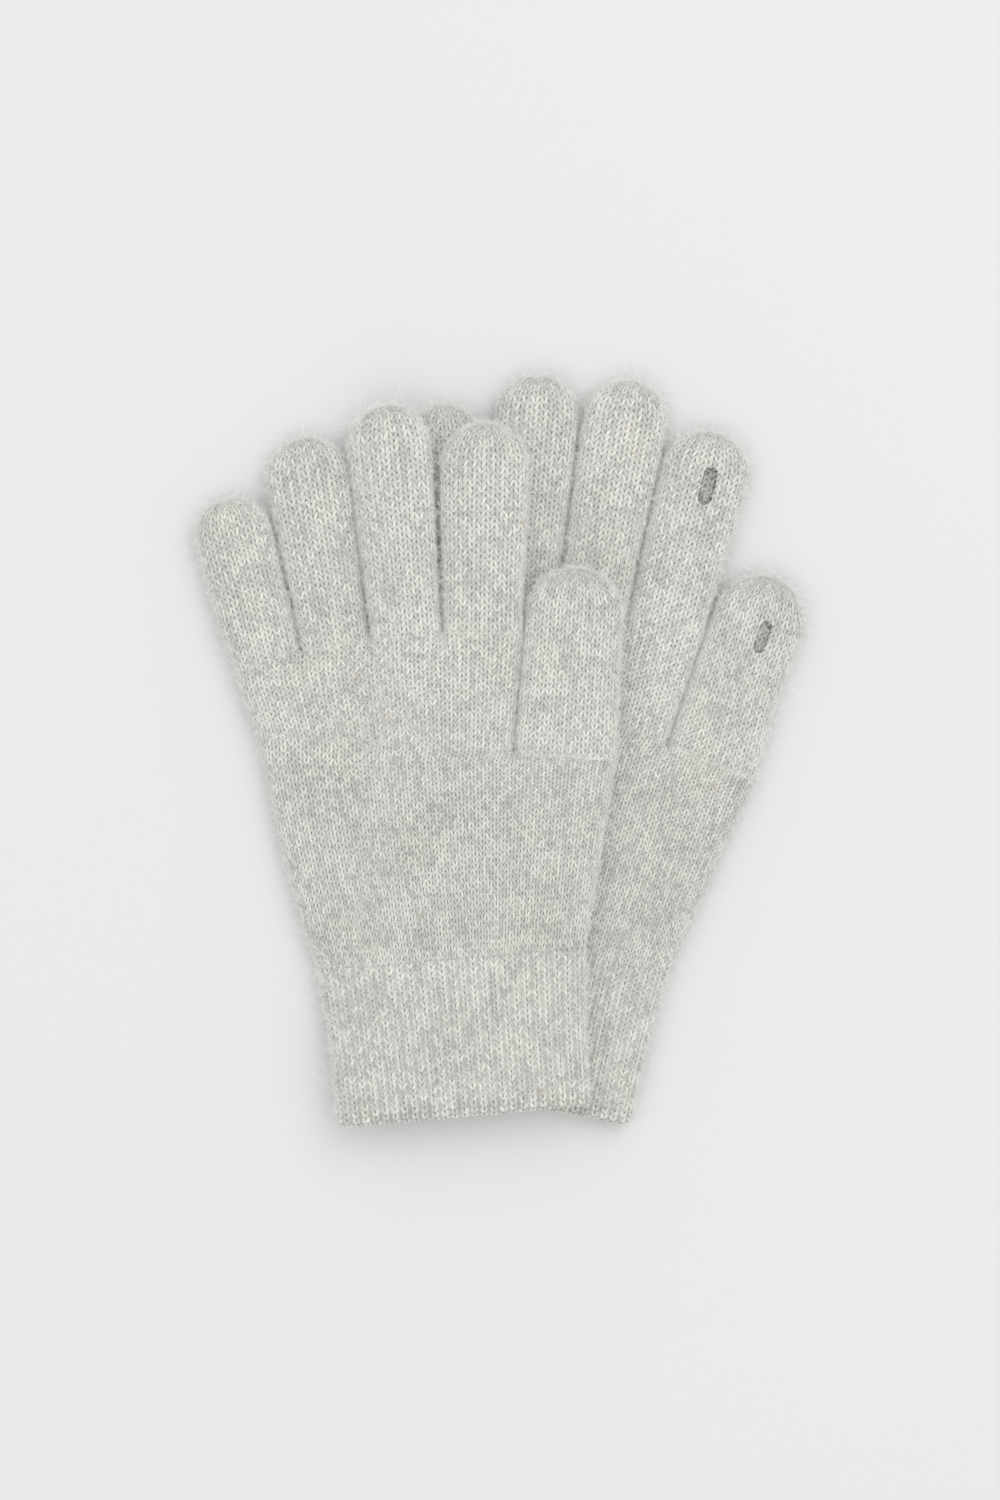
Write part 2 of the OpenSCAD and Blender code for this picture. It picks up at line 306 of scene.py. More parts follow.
def lowerGrid(lay):
    count, rowsPalm = grid["lowerColumns"], grid["palmRows"]
    rowsCuff = int(hand["cuffLen"] / knit["step"])
    thumbEnd = hand["rootW"][thumb] - lay["thumbIn"]
    palmLen = hand["palmLen"] + lay["pullOut"]
    points, along, arcs = [], [], []
    for j in range(rowsCuff + rowsPalm + 1):
        if j < rowsCuff:
            d = hand["cuffLen"] * (1 - j / rowsCuff)
            w = mix(hand["wristW"], hand["cuffW"], d / hand["cuffLen"])
            w -= hand["cuffHollow"] * math.sin(math.pi * min(1, d / hand["cuffLen"])) + 0.5
            cornerLen, cornerDeep = hand["cuffCorner"]
            corner = max(0.0, (d - hand["cuffLen"] + cornerLen) / cornerLen)
            w -= cornerDeep * (1 - math.sqrt(1 - 0.96 * corner ** 2))
            roll = math.exp(-((d - hand["cuffLen"] + 1.2) / 1.2) ** 2) * rib["edgeRoll"]
            left, right = downCuff(lay, -w / 2 - roll, d), downCuff(lay, w / 2 + roll, d)
            t = knit["loft"] - 0.5 + 1.2 * roll
            if d > hand["cuffLen"] - 1.2:
                t -= 0.9 * ((d - hand["cuffLen"] + 1.2) / 1.2) ** 2
            dist, shape = -palmLen - d, None
        else:
            s = (j - rowsCuff) / rowsPalm
            left = mix(downCuff(lay, -hand["wristW"] / 2 + 0.25, 0), acrossLine(-hand["handW"]), s)
            wristRight = downCuff(lay, hand["wristW"] / 2 - 0.25, 0)
            right = mix(wristRight, acrossLine(thumbEnd), 1 - (1 - s) ** lay["sideCurve"])
            left = left - np.array([hand["palmBulge"] * math.sin(math.pi * min(1, s * 1.05)) ** 1.3, 0])
            t = knit["loft"] - 0.5 * (1 - ease(s * 6))
            dist = -palmLen * (1 - s)
            halfW = np.linalg.norm(right - left) / 2
            cut = -1 + hand["handW"] / halfW
            share = ease((dist + 9) / 9) * 0.9
            edges = [(-1, cut, hand["handW"] / 2), (cut, 1, thumbEnd / 2)]
            shape = lobes(edges, {"halfW": halfW, "share": share}) if share > 0 else None
        halfW = np.linalg.norm(right - left) / 2
        x, z, at = ringAt(halfW, t, count, shape)
        flat = mix(left, right, ((x / halfW + 1) / 2)[:, None])
        points.append(lifted(lay, flat, z, t))
        along.append(dist)
        arcs.append(at)
    points, along, arcs = np.array(points), np.array(along), np.array(arcs)
    waleA = np.linspace(0, knit["wales"], count + 1)
    ribA = np.linspace(0, rib["ribs"], count + 1)
    plainC = along / knit["course"]
    ribC = (along + palmLen) / rib["course"] - palmLen / knit["course"]
    return {"points": points, "along": along, "arc": arcs, "rowsCuff": rowsCuff,
            "waleA": waleA, "ribA": ribA, "plainC": plainC, "ribC": ribC}


def upperGrid(lay, palmPitch):
    count, rows = grid["upperColumns"], grid["upperRows"]
    tuckedRows = grid["tuckedRows"]
    shares = np.concatenate([[0], np.cumsum(hand["rootW"][:4])]) / sum(hand["rootW"][:4])
    knuckles = np.array([knuckle(lay, i) for i in range(5)])
    points, along = [], []
    for j in range(-tuckedRows, rows + 1):
        s = j / rows
        tuck = 0.3 * min(0, j) / tuckedRows  # the first rows lie just under the lower palm
        halfW = mix(hand["handW"], sum(hand["rootW"][:4]), s) / 2 + tuck
        share = ease((s * hand["upperLen"] - 26) / 11) * 0.95
        edges = [(2 * shares[k] - 1, 2 * shares[k + 1] - 1, hand["rootW"][k] / 2) for k in range(4)]
        shape = lobes(edges, {"halfW": halfW, "share": share}) if share > 0 else None
        if j <= 0:
            shape = lobes([(-1, 1, 60)], {"halfW": halfW, "share": 0})
        x, z, at = ringAt(halfW, knit["loft"] + 2 * tuck, count, shape)
        f = (x / halfW + 1) / 2
        base = acrossLine(-hand["handW"] * (1 - f))
        top = np.stack([np.interp(f, shares, knuckles[:, 0]), np.interp(f, shares, knuckles[:, 1])], -1)
        flat = mix(base, top, s)
        flat[:, 0] += hand["rootTuck"] * max(s, 0) ** 1.3 * np.clip(1 - f / 0.12, 0, 1) ** 1.2
        points.append(lifted(lay, flat, z, knit["loft"]))
        along.append(s * np.linalg.norm(top - base, axis=-1))
        if j == 0:
            pitchFull, topTurn = at[-1] / palmPitch, at
    total = round(pitchFull)
    half = count // 2
    topA = topTurn[: half + 1] / palmPitch
    underA = np.linspace(topA[-1], total, count - half + 1)[1:]
    waleA = np.concatenate([topA, underA])
    return {"points": np.array(points), "along": np.array(along), "waleA": waleA, "shares": shares}


# Digits

def digitGrid(lay, i, startA, pitch):
    rootA, rootB = rootEnds(lay, i)
    rootMid = (rootA + rootB) / 2
    rootDir = math.degrees(math.atan2(rootB[1] - rootA[1], rootB[0] - rootA[0]))
    rootW = np.linalg.norm(rootB - rootA) - hand["sideGap"]
    tipW = hand["rootW"][i] + hand["flare"][i]
    tipH = hand["tipRound"] * tipW / 2
    length = digitReach(lay, i)
    straight = length - tipH
    girth = 2 * (tipW - knit["loft"]) + knit["edgeTurns"][1]
    count = int(round(girth / grid["digitStep"] / 4)) * 4
    splay = lay["splay"][i]
    rowsUp = int((straight + 1) / knit["step"])
    rowsTip = int(tipH * 1.45 / knit["step"])
    points, along = [], []
    for j in range(rowsUp + rowsTip + 1):
        if j <= rowsUp:
            s = -1 + (straight + 1) * j / rowsUp
            tuck = 1 - ease((s + 1) / 1.7)  # the root starts just inside the palm
            w = mix(rootW, tipW, ease(s / straight)) - 0.7 * tuck
            t = knit["loft"] - 0.35 * tuck
            y, dist = s, s
        else:
            a = math.pi / 2 * (j - rowsUp) / (rowsTip + 0.6)
            w = tipW * math.cos(a) ** 0.94
            t = knit["loft"] * math.cos(a) ** 0.62
            y, dist = straight + tipH * math.sin(a), straight + tipH * 1.35 * a / 1.5708
        dirHere = mix(rootDir, splay, float(ease(y / hand["straighten"])))
        soft = mix(edgeSoft["root"], edgeSoft["digit"], float(ease(y / 20)))
        x, z, _ = ringAt(w / 2, min(t, w * 0.98), count, soft=soft)
        flat = rootMid + turned(splay, np.array([0, y])) + turned(dirHere, np.stack([x, 0 * x], -1))
        if i == thumb:
            slim = lay["thumbSlim"] * float(ease(y / 30)) * (0.5 + 0.5 * x / (w / 2))
            flat = flat - turned(dirHere, np.array([1.0, 0])) * slim[:, None]
        if i == 0:
            drawIn = hand["rootTuck"] * np.clip(1 - y / 22, 0, 1) ** 1.3 * np.clip(-x / (w / 2), 0, 1) ** 1.5
            flat = flat + np.array([1.0, 0.25]) * drawIn[:, None]
        points.append(lifted(lay, flat, z, t))
        along.append(dist)
    total = round((2 * (rootW - knit["loft"]) + knit["edgeTurns"][0]) / pitch)
    waleA = np.linspace(0, total, count + 1)
    quarter = np.interp(0.25, np.linspace(0, 1, count + 1), waleA)  # the middle of the top
    waleA = waleA + (startA - quarter) % 1
    poleAt = rootMid + turned(splay, np.array([0, length]))
    pole = lifted(lay, poleAt[None], np.zeros(1), knit["loft"])[0]
    return {"points": np.array(points), "along": np.array(along), "waleA": waleA,
            "pole": pole, "rowsUp": rowsUp}


# Meshes: grids keep a doubled last column, so that the stitch map runs on across the join

def newSheet():
    return {"verts": [], "join": [], "uv": [], "quads": [], "tris": [], "nv": 0, "nu": 0}


def addGrid(sheet, points, a, c):
    rows, cols = points.shape[0], points.shape[1] - 1
    j, i = np.mgrid[0:rows, 0:cols + 1]
    ids = sheet["nu"] + j * (cols + 1) + i
    sheet["verts"].append(points[:, :-1].reshape(-1, 3))
    sheet["join"].append((sheet["nv"] + j * cols + i % cols).ravel())
    uv = np.stack([np.broadcast_to(a, j.shape), np.broadcast_to(c, j.shape)], -1)
    sheet["uv"].append(uv.reshape(-1, 2))
    sheet["nv"] += rows * cols
    sheet["nu"] += rows * (cols + 1)
    return ids


def addPoint(sheet, p, uv):
    sheet["verts"].append(np.array(p)[None])
    sheet["join"].append(np.array([sheet["nv"]]))
    sheet["uv"].append(np.array([uv], float))
    sheet["nv"] += 1
    sheet["nu"] += 1
    return sheet["nu"] - 1


def gridQuads(ids, keep=None):
    q = np.stack([ids[:-1, :-1], ids[:-1, 1:], ids[1:, 1:], ids[1:, :-1]], -1)
    return (q if keep is None else q[keep]).reshape(-1, 4)


def rim(sheet, outer, inner, every, top):
    tris = []
    for m in range(every):
        tris.append(np.stack([outer[m:-1:every], inner[:-1], outer[m + 1::every]], -1))
    tris.append(np.stack([inner[:-1], inner[1:], outer[every::every]], -1))
    tris = np.concatenate(tris)
    sheet["tris"].append(tris[:, ::-1] if top else tris)


def fan(sheet, ring, pole, inward):
    tris = np.stack([ring[:-1], ring[1:], np.full(len(ring) - 1, pole)], -1)
    sheet["tris"].append(tris[:, ::-1] if inward else tris)


def buildMesh(name, sheet):
    verts = np.concatenate(sheet["verts"]) * mm
    join, uv = np.concatenate(sheet["join"]), np.concatenate(sheet["uv"])
    quads = np.concatenate(sheet["quads"]) if sheet["quads"] else np.zeros((0, 4), int)
    tris = np.concatenate(sheet["tris"]) if sheet["tris"] else np.zeros((0, 3), int)
    corners = np.concatenate([quads.ravel(), tris.ravel()])
    mesh = bpy.data.meshes.new(name)
    mesh.vertices.add(len(verts))
    mesh.vertices.foreach_set("co", verts.astype(np.float32).ravel())
    mesh.loops.add(len(corners))
    mesh.loops.foreach_set("vertex_index", join[corners].astype(np.int32))
    mesh.polygons.add(len(quads) + len(tris))
    starts = np.concatenate([np.arange(len(quads)) * 4, len(quads) * 4 + np.arange(len(tris)) * 3])
    mesh.polygons.foreach_set("loop_start", starts.astype(np.int32))
    mesh.polygons.foreach_set("use_smooth", np.ones(len(starts), bool))
    layer = mesh.uv_layers.new(name="stitches")
    layer.uv.foreach_set("vector", uv[corners].astype(np.float32).ravel())
    mesh.update(calc_edges=True)
    mesh.validate()
    piece = bpy.data.objects.new(name, mesh)
    bpy.context.scene.collection.objects.link(piece)
    return piece


def knitPiece(name, outer, base, normals, a, c, every, pole=None, innerRows=None, hole=None, sink=0):
    # outer is the stitched face, base the plain face that the lining is set in from
    sheet = newSheet()
    ids = addGrid(sheet, outer, a, c)
    rows, cols = outer.shape[0], outer.shape[1] - 1
    keep = np.ones((rows - 1, cols), bool) if hole is None else ~hole
    sheet["quads"].append(gridQuads(ids, keep))
    last = rows - 1 if innerRows is None else innerRows
    pick = np.unique(np.concatenate([np.arange(0, last, every), [last]]))
    depth = np.broadcast_to(knit["wall"] + sink, base.shape[:2])
    inside = (base - depth[..., None] * normals)[pick][:, ::every]
    cPick = c[pick] if c.shape[1] == 1 else c[pick][:, ::every]
    innerIds = addGrid(sheet, inside, a[::every], cPick)
    innerKeep = None if hole is None else ~hole[:last]
    sheet["quads"].append(gridQuads(innerIds, innerKeep)[:, ::-1])
    rim(sheet, ids[0], innerIds[0], every, False)
    if pole is None:
        rim(sheet, ids[-1], innerIds[-1], every, True)
    else:
        fan(sheet, ids[-1], addPoint(sheet, pole, (a.mean(), np.max(c) + 0.3)), False)
        fan(sheet, innerIds[-1], addPoint(sheet, inside[-1, :-1].mean(0), (a.mean(), np.max(cPick))), True)
    if hole is not None:
        j, i = np.nonzero(hole)
        sides = ((-1, 0, (0, 0), (0, 1)), (1, 0, (1, 1), (1, 0)),
                 (0, 1, (0, 1), (1, 1)), (0, -1, (1, 0), (0, 0)))
        for dj, di, p, q in sides:
            edge = ~hole[j + dj, i + di]
            je, ie = j[edge], i[edge]
            p1, q1 = (je + p[0], ie + p[1]), (je + q[0], ie + q[1])
            sheet["quads"].append(np.stack([ids[p1], ids[q1], innerIds[q1], innerIds[p1]], -1))
    return buildMesh(name, sheet)


# Loose hairs: thin tapered tubes rooted in the fabric

hair = {
    "perArea": 1.25,         # hairs for each square millimetre
    "length": (1.3, 4.2),
    "thick": 0.062,          # radius at the root
    "longShare": 0.045,
    "longLength": (6.0, 11.0),
    "lift": (8.0, 60.0),     # degrees off the fabric
    "flatten": 9.0,          # long hairs bend over before they stand this high
    "rings": ((0.0, 1.0), (0.38, 0.85), (0.72, 0.6)),  # place along a hair and its thickness there
    "rooted": 0.25,          # depth of the root in the fabric
    "wild": 0.35, "droop": 0.25,  # how far hairs bend at random and back to the fabric
    "floor": 0.04,           # least height above the table
    "most": 12400,           # hairs on one piece
    "atSides": 3.5,          # extra hairs where the fabric turns down
    "underneath": 0.3,       # share of hairs left where the glove lies on its face
    "pale": (0.98, 0.975, 0.95, 1), "dark": (0.74, 0.73, 0.70, 1),
}


def hairPiece(name, points, normals, seed):
    rng = np.random.default_rng(seed)
    du, dv = points[:-1, 1:] - points[:-1, :-1], points[1:, :-1] - points[:-1, :-1]
    area = np.linalg.norm(np.cross(du, dv), axis=-1).ravel()
    upward = normals[:-1, :-1, 2].ravel()
    crowd = np.where(upward > -0.35, 1 + hair["atSides"] * (1 - np.abs(upward)), hair["underneath"])
    area = area * crowd
    count = min(int(area.sum() * hair["perArea"]), hair["most"])
    cell = rng.choice(len(area), count, p=area / area.sum())
    j, i = np.unravel_index(cell, (points.shape[0] - 1, points.shape[1] - 1))
    root = points[j, i] + du[j, i] * rng.random((count, 1)) + dv[j, i] * rng.random((count, 1))
    n = normals[j, i]
    along = rng.normal(size=(count, 3))
    along -= n * np.sum(along * n, -1, keepdims=True)
    along /= np.linalg.norm(along, axis=-1, keepdims=True)
    lift = np.radians(rng.uniform(*hair["lift"], count))[:, None] * rng.random((count, 1)) ** 0.6
    away = along * np.cos(lift) + n * np.sin(lift)
    size = rng.uniform(*hair["length"], (count, 1))
    far = rng.random((count, 1)) < hair["longShare"]
    size = np.where(far, rng.uniform(*hair["longLength"], (count, 1)), size)
    bend = rng.normal(size=(count, 3)) * hair["wild"] - hair["droop"] * n
    sideways = np.cross(away, n + 0.01)
    sideways /= np.linalg.norm(sideways, axis=-1, keepdims=True)
    other = np.cross(away, sideways)
    rings, heights = [], []
    for s, w in hair["rings"]:
        centre = root - hair["rooted"] * n + away * size * s + bend * size * s * s
        for turn in (0, 2.0944, 4.18879):
            out = sideways * math.cos(turn) + other * math.sin(turn)
            rings.append(centre + out * hair["thick"] * w)
            heights.append(s)
    rings.append(root - hair["rooted"] * n + away * size + bend * size)
    heights.append(1.0)
    verts = np.stack(rings, 1)
    perHair = len(rings)
    rise = verts[..., 2] - root[:, None, 2]
    verts[..., 2] = root[:, None, 2] + rise / (1 + np.maximum(rise, 0) / hair["flatten"])
    verts[..., 2] = np.maximum(verts[..., 2], hair["floor"] + 0.03 * (np.arange(perHair) % 3))
    quads, tris = [], [(2, 1, 0)]
    for r in (0, 3):
        for k in range(3):
            quads.append((r + k, r + (k + 1) % 3, r + 3 + (k + 1) % 3, r + 3 + k))
    for k in range(3):
        tris.append((6 + k, 6 + (k + 1) % 3, 9))
    shift = (np.arange(count) * perHair)[:, None, None]
    tone = rng.random(count)
    sheet = newSheet()
    sheet["verts"].append(verts.reshape(-1, 3))
    sheet["join"].append(np.arange(count * perHair))
    sheet["uv"].append(np.stack([np.repeat(tone, perHair), np.tile(heights, count)], -1))
    sheet["quads"].append((np.array(quads)[None] + shift).reshape(-1, 4))
    sheet["tris"].append((np.array(tris)[None] + shift).reshape(-1, 3))
    return buildMesh(name, sheet)


# Shader groups

def makeGroup(name, inputs, outputs):
    tree = bpy.data.node_groups.new(name, "ShaderNodeTree")
    for label, kind, value in inputs:
        socket = tree.interface.new_socket(name=label, in_out="INPUT", socket_type=kind)
        if value is not None:
            socket.default_value = value
    for label, kind in outputs:
        tree.interface.new_socket(name=label, in_out="OUTPUT", socket_type=kind)
    return tree, tree.nodes.new("NodeGroupInput"), tree.nodes.new("NodeGroupOutput")


def mathNode(tree, operation, *values):
    node = tree.nodes.new("ShaderNodeMath")
    node.operation = operation
    for socket, value in zip(node.inputs, values):
        if isinstance(value, (int, float)):
            socket.default_value = value
        else:
            tree.links.new(value, socket)
    return node.outputs[0]


def noiseNode(tree, vector, scale, detail=3.0, roughness=0.55):
    node = tree.nodes.new("ShaderNodeTexNoise")
    node.inputs["Scale"].default_value = scale
    node.inputs["Detail"].default_value = detail
    node.inputs["Roughness"].default_value = roughness
    tree.links.new(vector, node.inputs["Vector"])
    return node.outputs["Fac"]


def spread(tree, value, low, high, toLow=0.0, toHigh=1.0):
    node = tree.nodes.new("ShaderNodeMapRange")
    node.interpolation_type = "SMOOTHSTEP"
    for label, v in (("From Min", low), ("From Max", high), ("To Min", toLow), ("To Max", toHigh)):
        node.inputs[label].default_value = v
    tree.links.new(value, node.inputs["Value"])
    return node.outputs["Result"]


def blendColour(tree, share, a, b):
    node = tree.nodes.new("ShaderNodeMix")
    node.data_type = "RGBA"
    for socket, value in ((node.inputs[0], share), (node.inputs[6], a), (node.inputs[7], b)):
        if isinstance(value, (int, float, tuple)):
            socket.default_value = value
        else:
            tree.links.new(value, socket)
    return node.outputs[2]


def stitchGroup():
    # V-shaped legs in the stitch map: how high a leg stands, which also sets how much painted shade lies
    # between the legs, its fibre streaks and its own tone
    tree, start, end = makeGroup("stitchLegs", [
        ("Map", "NodeSocketVector", None), ("Leg spread", "NodeSocketFloat", 1.0),
        ("Leg lean", "NodeSocketFloat", 1.15), ("Groove", "NodeSocketFloat", 0.0)],
        [("Leg", "NodeSocketFloat"), ("Streak", "NodeSocketFloat"), ("Tone", "NodeSocketFloat")])

    def m(operation, *values):
        return mathNode(tree, operation, *values)

    split = tree.nodes.new("ShaderNodeSeparateXYZ")
    tree.links.new(start.outputs["Map"], split.inputs[0])
    a, c = split.outputs[0], split.outputs[1]
    wale = m("FLOOR", a)
    x = m("DIVIDE", m("SUBTRACT", m("SUBTRACT", a, wale), 0.5), start.outputs["Leg spread"])
    u = m("ABSOLUTE", x)
    shift = m("MULTIPLY", m("SINE", m("MULTIPLY", wale, leg["waleTurn"])), leg["waleShift"])
    row = m("ADD", m("SUBTRACT", c, m("MULTIPLY", u, start.outputs["Leg lean"])), shift)
    rowNo = m("FLOOR", row)
    y = m("SUBTRACT", row, rowNo)
    centre = m("MULTIPLY_ADD", m("SUBTRACT", y, 0.5), leg["splay"], leg["centre"])
    off = m("DIVIDE", m("SUBTRACT", u, centre), leg["halfWidth"])
    bump = m("SQRT", m("MAXIMUM", m("SUBTRACT", 1.0, m("MULTIPLY", off, off)), 0.0))
    swell = m("POWER", m("MAXIMUM", m("SINE", m("MULTIPLY", y, math.pi)), 0.0), 0.7)
    swell = m("MULTIPLY_ADD", swell, 0.6, 0.4)
    purl = m("MULTIPLY", start.outputs["Groove"], m("GREATER_THAN", u, rib["raisedHalf"]))
    tree.links.new(m("MAXIMUM", m("MULTIPLY", bump, swell), purl), end.inputs["Leg"])
    which = tree.nodes.new("ShaderNodeCombineXYZ")
    for socket, value in zip(which.inputs, (wale, rowNo, m("SIGN", x))):
        tree.links.new(value, socket)
    white = tree.nodes.new("ShaderNodeTexWhiteNoise")
    white.noise_dimensions = "3D"
    tree.links.new(which.outputs[0], white.inputs["Vector"])
    tree.links.new(white.outputs["Value"], end.inputs["Tone"])
    ply = tree.nodes.new("ShaderNodeCombineXYZ")
    tree.links.new(m("MULTIPLY", off, 2.2), ply.inputs[0])
    tree.links.new(m("MULTIPLY_ADD", y, 0.9, m("MULTIPLY", off, 0.35)), ply.inputs[1])
    tree.links.new(m("MULTIPLY", white.outputs["Value"], 37.0), ply.inputs[2])
    tree.links.new(noiseNode(tree, ply.outputs[0], 2.0, 2.0), end.inputs["Streak"])
    return tree


melange = {
    "cloud": 85, "blotch": 520, "fibre": 2300, "cream": 48, "speck": 380,  # noise scales
    "cloudShare": 0.24, "blotchShare": 0.12, "legShare": 0.55, "streakShare": 0.6,
    "greyFrom": 0.27, "greyTo": 1.26,
    "creamMost": 0.4, "amberMost": 0.6, "fibreMost": 0.35, "kempMost": 0.6,
}


def heatherGroup():
    # grey and white fibres blended in the yarn, with cream patches and a few dark and amber specks, and
    # painted shade in a dark colour where the legs dip between each other
    tree, start, end = makeGroup("heatherYarn", [
        ("Leg", "NodeSocketFloat", 0.5), ("Streak", "NodeSocketFloat", 0.5), ("Tone", "NodeSocketFloat", 0.5),
        ("Pale", "NodeSocketColor", (0.8, 0.8, 0.8, 1)), ("Grey", "NodeSocketColor", (0.4, 0.4, 0.4, 1)),
        ("Cream", "NodeSocketColor", (0.8, 0.78, 0.7, 1)), ("Gap", "NodeSocketColor", (0.2, 0.2, 0.2, 1))],
        [("Color", "NodeSocketColor"), ("Height", "NodeSocketFloat"), ("Rough", "NodeSocketFloat")])
    place = tree.nodes.new("ShaderNodeTexCoord").outputs["Object"]
    cloud = spread(tree, noiseNode(tree, place, melange["cloud"], 2.0), 0.25, 0.75)
    blotch = spread(tree, noiseNode(tree, place, melange["blotch"], 3.0, 0.7), 0.25, 0.75)
    fibre = noiseNode(tree, place, melange["fibre"], 2.0, 0.7)
    cloudShare = mathNode(tree, "MULTIPLY", cloud, melange["cloudShare"])
    patches = mathNode(tree, "MULTIPLY_ADD", blotch, melange["blotchShare"], cloudShare)
    greyShare = mathNode(tree, "MULTIPLY_ADD", start.outputs["Tone"], melange["legShare"], patches)
    greyShare = mathNode(tree, "MULTIPLY_ADD", start.outputs["Streak"], melange["streakShare"], greyShare)
    greyShare = spread(tree, greyShare, melange["greyFrom"], melange["greyTo"])
    creamNoise = noiseNode(tree, place, melange["cream"], 1.0)
    creamShare = spread(tree, creamNoise, 0.5, 0.78, 0.0, melange["creamMost"])
    pale = blendColour(tree, creamShare, start.outputs["Pale"], start.outputs["Cream"])
    yarn = blendColour(tree, greyShare, pale, start.outputs["Grey"])
    speck = spread(tree, noiseNode(tree, place, melange["speck"], 0.0), 0.865, 0.885)
    speck = mathNode(tree, "MULTIPLY", speck, melange["amberMost"])
    yarn = blendColour(tree, speck, yarn, yarnTones["amber"])
    greyFibre = spread(tree, fibre, 0.35, 0.75, 0.0, melange["fibreMost"])
    yarn = blendColour(tree, greyFibre, yarn, start.outputs["Grey"])
    # kemp: a few dark fibres, given the same dark colour as the painted shade
    kemp = spread(tree, start.outputs["Streak"], 0.56, 0.70, 0.0, melange["kempMost"])
    yarn = blendColour(tree, kemp, yarn, start.outputs["Gap"])
    # painted shade: the low parts between the stitch legs go to the dark colour
    clearOfShade = spread(tree, start.outputs["Leg"], 0.08, 0.78)
    tree.links.new(blendColour(tree, clearOfShade, start.outputs["Gap"], yarn), end.inputs["Color"])
    streaks = mathNode(tree, "MULTIPLY", start.outputs["Streak"], 0.5)
    fuzz = mathNode(tree, "MULTIPLY_ADD", fibre, 0.45, streaks)
    height = mathNode(tree, "ADD", mathNode(tree, "MULTIPLY", start.outputs["Leg"], 0.75), fuzz)
    tree.links.new(height, end.inputs["Height"])
    tree.links.new(spread(tree, fibre, 0.2, 0.8, 0.82, 0.98), end.inputs["Rough"])
    return tree


yarnTones = {
    "pale": (0.965, 0.955, 0.89, 1),
    "grey": (0.53, 0.53, 0.505, 1),
    "cream": (0.955, 0.935, 0.80, 1),
    # dark colour of the painted shade between stitch legs, also used for dark kemp fibres
    "gap": (0.17, 0.17, 0.15, 1),
    "amber": (0.72, 0.48, 0.22, 1),
    "bump": 0.9,
    "sheen": 1.0,
}


def yarnMaterial(name, legSpread, legLean, groove=0.0):
    material = bpy.data.materials.new(name)
    material.use_nodes = True
    tree = material.node_tree
    shader = tree.nodes["Principled BSDF"]
    mapNode = tree.nodes.new("ShaderNodeUVMap")
    mapNode.uv_map = "stitches"
    stitch = tree.nodes.new("ShaderNodeGroup")
    stitch.node_tree = groups["stitch"]
    stitch.inputs["Leg spread"].default_value = legSpread
    stitch.inputs["Leg lean"].default_value = legLean
    stitch.inputs["Groove"].default_value = groove
    tree.links.new(mapNode.outputs[0], stitch.inputs["Map"])
    heather = tree.nodes.new("ShaderNodeGroup")
    heather.node_tree = groups["heather"]
    for label in ("Leg", "Streak", "Tone"):
        tree.links.new(stitch.outputs[label], heather.inputs[label])
    for label in ("Pale", "Grey", "Cream", "Gap"):
        heather.inputs[label].default_value = yarnTones[label.lower()]
    tree.links.new(heather.outputs["Color"], shader.inputs["Base Color"])
    tree.links.new(heather.outputs["Rough"], shader.inputs["Roughness"])
    bump = tree.nodes.new("ShaderNodeBump")
    bump.inputs["Strength"].default_value = yarnTones["bump"]
    bump.inputs["Distance"].default_value = 0.0003
    tree.links.new(heather.outputs["Height"], bump.inputs["Height"])
    tree.links.new(bump.outputs["Normal"], shader.inputs["Normal"])
    shader.inputs["Specular IOR Level"].default_value = 0.15
    shader.inputs["Sheen Weight"].default_value = yarnTones["sheen"]
    shader.inputs["Sheen Roughness"].default_value = 0.5
    return material


def hairMaterial():
    material = bpy.data.materials.new("looseHair")
    material.use_nodes = True
    tree = material.node_tree
    shader = tree.nodes["Principled BSDF"]
    mapNode = tree.nodes.new("ShaderNodeUVMap")
    mapNode.uv_map = "stitches"
    split = tree.nodes.new("ShaderNodeSeparateXYZ")
    tree.links.new(mapNode.outputs[0], split.inputs[0])
    dark = spread(tree, split.outputs[0], 0.72, 0.95)
    colour = blendColour(tree, dark, hair["pale"], hair["dark"])
    tree.links.new(colour, shader.inputs["Base Color"])
    tree.links.new(spread(tree, split.outputs[1], 0.0, 1.0, 0.75, 0.5), shader.inputs["Roughness"])
    shader.inputs["Specular IOR Level"].default_value = 0.3
    shader.inputs["Sheen Weight"].default_value = 1.0
    shader.inputs["Sheen Roughness"].default_value = 0.4
    # painted glow on the hairs
    shader.inputs["Emission Color"].default_value = (1, 0.99, 0.965, 1)
    shader.inputs["Emission Strength"].default_value = 0.08  # painted glow: the hairs give off a little light, standing in for light that fine fibres let through
    return material


thread = {
    "count": 5, "thick": 0.4, "firstRow": 20, "gapRows": 22, "every": 5,
    "pale": (0.78, 0.78, 0.75, 1), "dark": (0.60, 0.60, 0.57, 1),
}


def elasticMaterial():
    material = bpy.data.materials.new("elasticThread")
    material.use_nodes = True
    tree = material.node_tree
    shader = tree.nodes["Principled BSDF"]
    place = tree.nodes.new("ShaderNodeTexCoord").outputs["Object"]
    wave = tree.nodes.new("ShaderNodeTexWave")
    wave.inputs["Scale"].default_value = 700
    wave.inputs["Distortion"].default_value = 1.5
    tree.links.new(place, wave.inputs["Vector"])
    grain = noiseNode(tree, place, 1500)
    colour = blendColour(tree, wave.outputs["Fac"], thread["pale"], thread["dark"])
    tree.links.new(colour, shader.inputs["Base Color"])
    tree.links.new(spread(tree, grain, 0.2, 0.8, 0.55, 0.8), shader.inputs["Roughness"])
    bump = tree.nodes.new("ShaderNodeBump")
    bump.inputs["Distance"].default_value = 0.0002
    tree.links.new(wave.outputs["Fac"], bump.inputs["Height"])
    tree.links.new(bump.outputs["Normal"], shader.inputs["Normal"])
    return material


